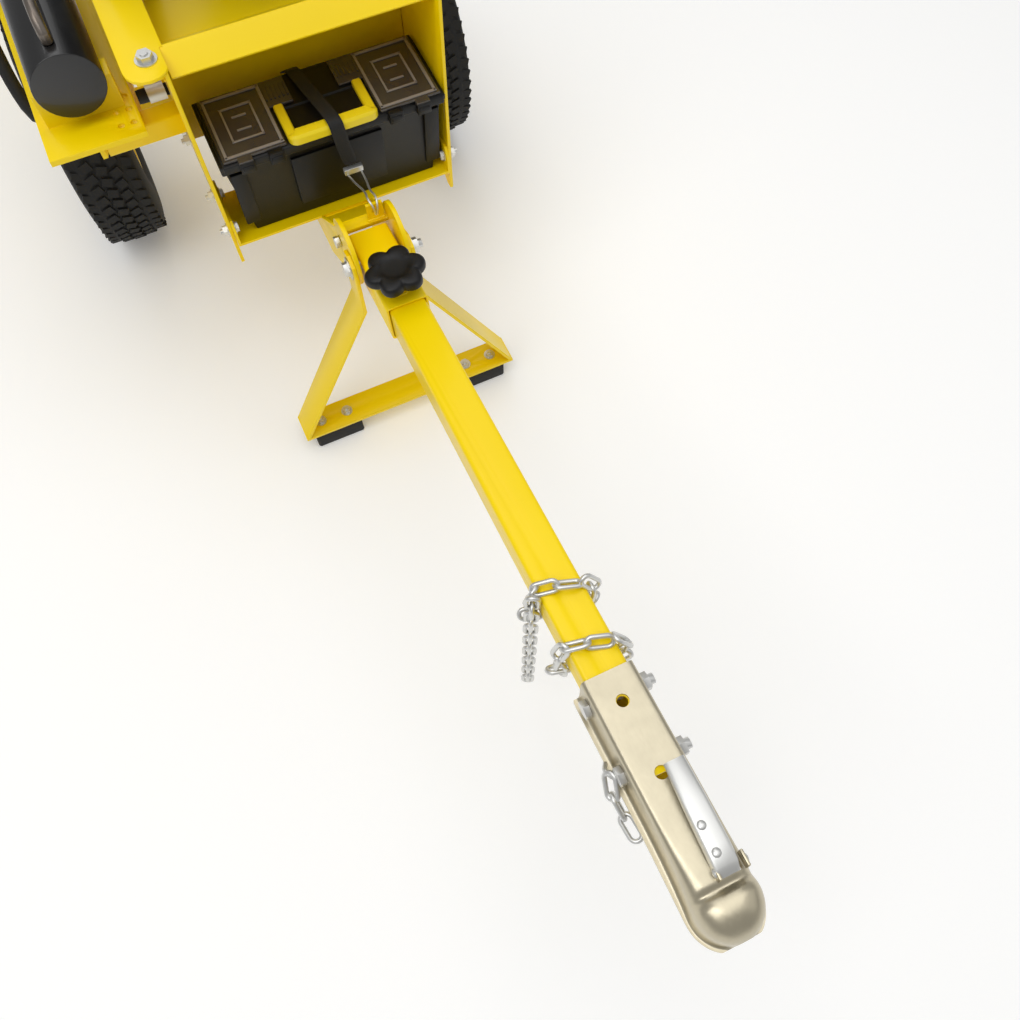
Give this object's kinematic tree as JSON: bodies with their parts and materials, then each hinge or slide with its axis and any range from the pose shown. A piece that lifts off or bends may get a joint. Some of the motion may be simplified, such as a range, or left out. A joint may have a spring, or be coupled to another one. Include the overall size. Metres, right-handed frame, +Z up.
{
  "type": "log splitter",
  "caption": "Towable petrol-hydraulic log splitter with tow bar and ball coupler, folding stand, toolbox, side beam, ram and wedge, on a two-wheel axle.",
  "frame": {"origin": "on the ground under the middle of the machine's bounding box", "axes": "+Z up, -Y towards the tow hitch, +X to the side away from the splitting beam"},
  "size_m": [0.773, 2.356, 0.878],
  "materials": {
    "yellow_paint": "gloss",
    "black_paint": "semi-gloss",
    "zinc_plate": "bright zinc",
    "champagne_zinc": "yellow-tinted zinc",
    "bare_steel": "ground",
    "chrome": "polished",
    "cast_alloy": "cast",
    "black_plastic": "moulded",
    "smoke_plastic": "clear smoke",
    "yellow_plastic": "moulded",
    "rubber": "matt",
    "tyre": "matt"
  },
  "bodies": {
    "frame": {"pivot_bolt": "zinc_plate", "yoke": "yellow_paint", "fold_lock_bolt": "zinc_plate", "side_plate_left": "yellow_paint", "side_plate_right": "yellow_paint", "tool_tray": "yellow_paint", "hydraulic_tank": "yellow_paint", "deck": "yellow_paint", "toolbox_body": "black_plastic", "toolbox_lid": "black_plastic", "toolbox_handle": "yellow_plastic", "toolbox_strap": "rubber", "strap_clip": "zinc_plate", "wire_hook": "zinc_plate", "axle": "yellow_paint", "beam": "yellow_paint", "cross_tube_front": "yellow_paint", "cross_tube_rear": "yellow_paint", "beam_pillar": "yellow_paint", "cylinder_barrel": "black_paint", "wedge": "black_paint", "log_cradle_left": "yellow_paint", "log_cradle_right": "yellow_paint", "control_valve": "cast_alloy", "pressure_hose": "rubber", "return_hose": "rubber", "cylinder_pipe": "bare_steel", "engine_block": "cast_alloy", "engine_shroud": "black_plastic", "fuel_tank": "black_paint", "pump_bell": "cast_alloy", "hydraulic_pump": "cast_alloy", "muffler": "bare_steel", "air_cleaner": "black_plastic", "return_filter": "black_paint"},
    "tow_bar": {"tow_tube": "yellow_paint", "coupler": "champagne_zinc", "coupler_bolt_rear": "zinc_plate", "coupler_bolt_front": "zinc_plate", "safety_chain": "zinc_plate"},
    "latch": {"coupler_latch": "zinc_plate"},
    "fold_sleeve": {"tongue_sleeve": "yellow_paint"},
    "knob": {"clamp_knob": "black_plastic"},
    "stand": {"stand_frame": "yellow_paint", "stand_foot_left": "rubber", "stand_foot_right": "rubber"},
    "wheel_left": {"tyre_left": "tyre", "wheel_rim_left": "yellow_paint"},
    "wheel_right": {"tyre_right": "tyre", "wheel_rim_right": "yellow_paint"},
    "ram": {"piston_rod": "chrome", "ram_pusher": "black_paint"},
    "valve_handle": {"valve_lever": "black_plastic"},
    "engine_shaft": {"crankshaft": "bare_steel", "drive_coupling": "bare_steel"},
    "recoil_grip": {"recoil_handle": "black_plastic"},
    "fuel_tank_cap": {"fuel_cap": "black_plastic"},
    "oil_cap": {"tank_cap": "black_plastic"},
    "parts_lid_left": {"organizer_lid_left": "smoke_plastic"},
    "parts_lid_right": {"organizer_lid_right": "smoke_plastic"}
  },
  "joints": [
    {"name": "wheel_left_spin", "type": "hinge", "parent": "frame", "child": "wheel_left", "pos_m": [-0.2675, 0.38501, 0.203], "axis": [1, 0, 0], "continuous": true},
    {"name": "wheel_right_spin", "type": "hinge", "parent": "frame", "child": "wheel_right", "pos_m": [0.3205, 0.38501, 0.203], "axis": [1, 0, 0], "continuous": true},
    {"name": "tongue_fold", "type": "hinge", "parent": "frame", "child": "fold_sleeve", "pos_m": [0.0505, -0.24499, 0.375], "axis": [1, 0, 0], "range_deg": [-50, 0]},
    {"name": "tongue_draw", "type": "slide", "parent": "fold_sleeve", "child": "tow_bar", "axis": [0, -0.995, 0.0998], "range_m": [0, 0.05]},
    {"name": "knob_turn", "type": "hinge", "parent": "fold_sleeve", "child": "knob", "pos_m": [0.0505, -0.31862, 0.38239], "axis": [0, 0.0998, 0.995], "range_deg": [-180, 180]},
    {"name": "latch_lift", "type": "hinge", "parent": "tow_bar", "child": "latch", "pos_m": [0.0635, -1.10461, 0.48185], "axis": [1, 0, 0], "range_deg": [0, 35]},
    {"name": "stand_fold", "type": "hinge", "parent": "frame", "child": "stand", "pos_m": [0.0505, -0.24499, 0.375], "axis": [1, 0, 0], "range_deg": [0, 44]},
    {"name": "ram_stroke", "type": "slide", "parent": "frame", "child": "ram", "axis": [0, 1, 0], "range_m": [0, 0.45]},
    {"name": "valve_lever_tilt", "type": "hinge", "parent": "frame", "child": "valve_handle", "pos_m": [-0.2265, 0.46601, 0.666], "axis": [1, 0, 0], "range_deg": [-15, 15]},
    {"name": "engine_shaft_spin", "type": "hinge", "parent": "frame", "child": "engine_shaft", "pos_m": [0.0505, 0.11801, 0.672], "axis": [1, 0, 0], "continuous": true},
    {"name": "recoil_pull", "type": "slide", "parent": "frame", "child": "recoil_grip", "axis": [0, -1, 0], "range_m": [0, 0.3]},
    {"name": "fuel_cap_turn", "type": "hinge", "parent": "frame", "child": "fuel_tank_cap", "pos_m": [0.1105, 0.10801, 0.841], "axis": [0, 0, 1], "range_deg": [0, 90]},
    {"name": "oil_cap_turn", "type": "hinge", "parent": "frame", "child": "oil_cap", "pos_m": [0.1605, 0.26301, 0.572], "axis": [0, 0, 1], "continuous": true},
    {"name": "parts_lid_left_open", "type": "hinge", "parent": "frame", "child": "parts_lid_left", "pos_m": [-0.0525, 0.01801, 0.4745], "axis": [-1, 0, 0], "range_deg": [0, 60]},
    {"name": "parts_lid_right_open", "type": "hinge", "parent": "frame", "child": "parts_lid_right", "pos_m": [0.1655, 0.01801, 0.4745], "axis": [-1, 0, 0], "range_deg": [0, 60]}
  ]
}
